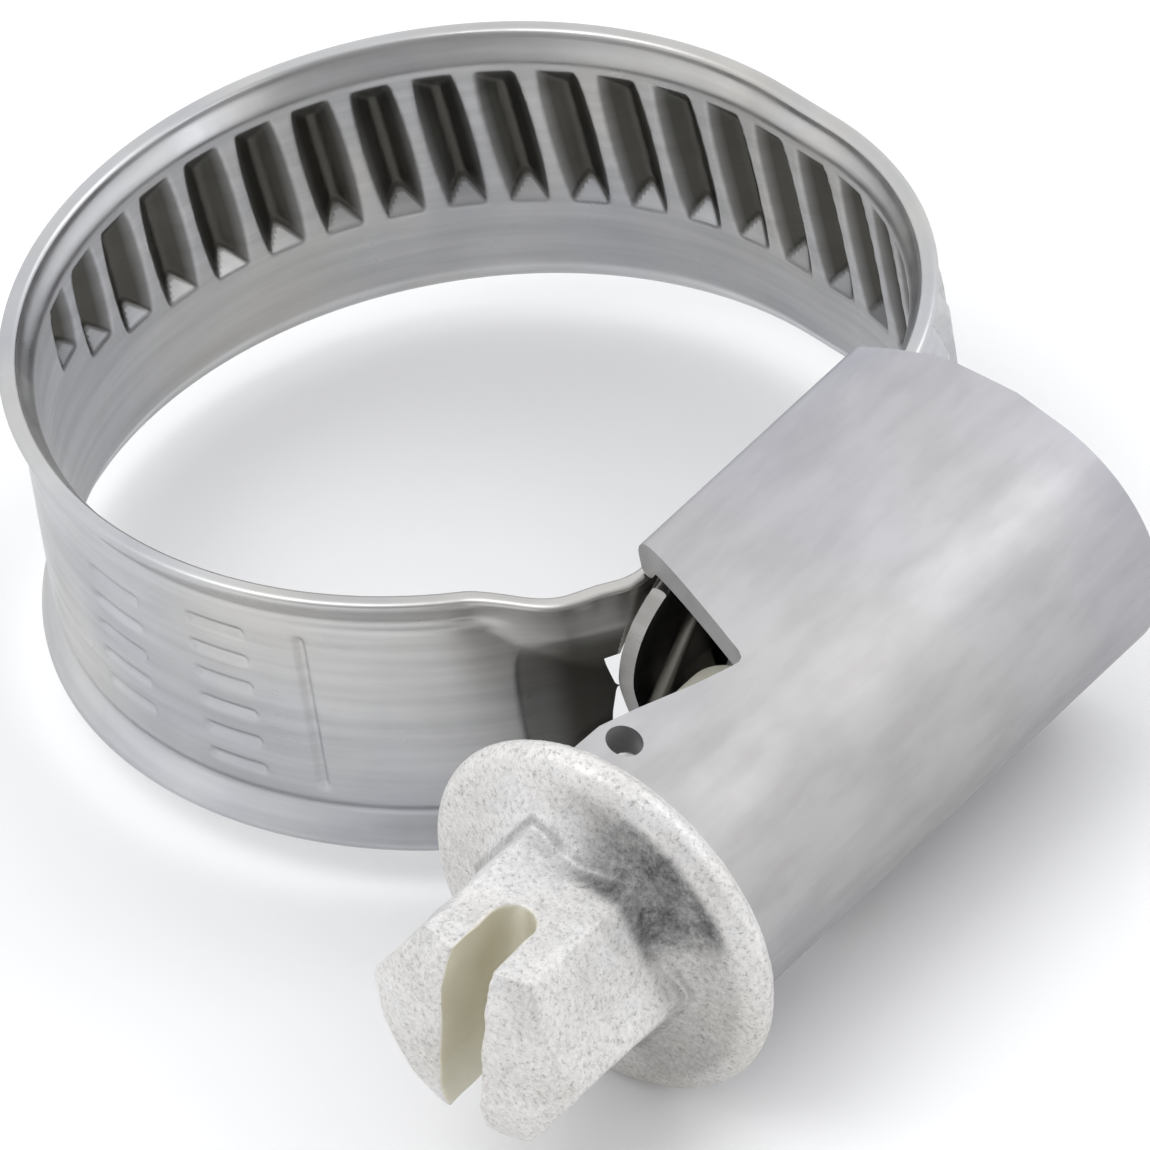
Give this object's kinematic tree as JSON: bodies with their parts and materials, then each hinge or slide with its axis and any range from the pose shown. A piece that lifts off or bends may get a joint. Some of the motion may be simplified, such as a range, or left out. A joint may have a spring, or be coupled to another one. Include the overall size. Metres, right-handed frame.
{
  "type": "hose clamp",
  "caption": "Worm-drive hose clamp: a ribbed steel strap in a loop, a stamped housing and a slotted hexagon screw that draws the strap tight round a hose.",
  "frame": {"origin": "centre of the loop at half the strap's width", "axes": "+Z along the loop's axis; +X towards the housing; the screw is parallel to Y with its head at -Y"},
  "size_m": [0.0302, 0.0291, 0.01],
  "materials": {
    "strap_steel": "bright rolled steel",
    "housing_steel": "satin stamped steel",
    "screw_zinc": "mottled zinc plate"
  },
  "bodies": {
    "clamp_body": {"housing": "housing_steel", "strap_anchor": "strap_steel", "strap_front": "strap_steel"},
    "worm": {"screw": "screw_zinc"},
    "band_back": {"strap_back": "strap_steel"},
    "band_tongue": {"strap_tongue": "strap_steel"}
  },
  "joints": [
    {"name": "screw_turn", "type": "hinge", "parent": "clamp_body", "child": "worm", "pos_m": [0.01403, 0, 0], "axis": [0, 1, 0], "range_deg": [-360, 180]},
    {"name": "strap_flex", "type": "hinge", "parent": "clamp_body", "child": "band_back", "pos_m": [-0.00925, 0.00492, 0], "axis": [0, 0, 1], "range_deg": [-2.37, 4.69]},
    {"name": "tongue_pivot", "type": "hinge", "parent": "band_back", "child": "band_tongue", "pos_m": [0.01026, 0.00492, 0], "axis": [0, 0, 1], "range_deg": [-4.69, 2.37]}
  ],
  "couplings": [
    {"joint": "strap_flex", "follows": "screw_turn", "ratio": -0.012888},
    {"joint": "tongue_pivot", "follows": "screw_turn", "ratio": 0.012888}
  ]
}
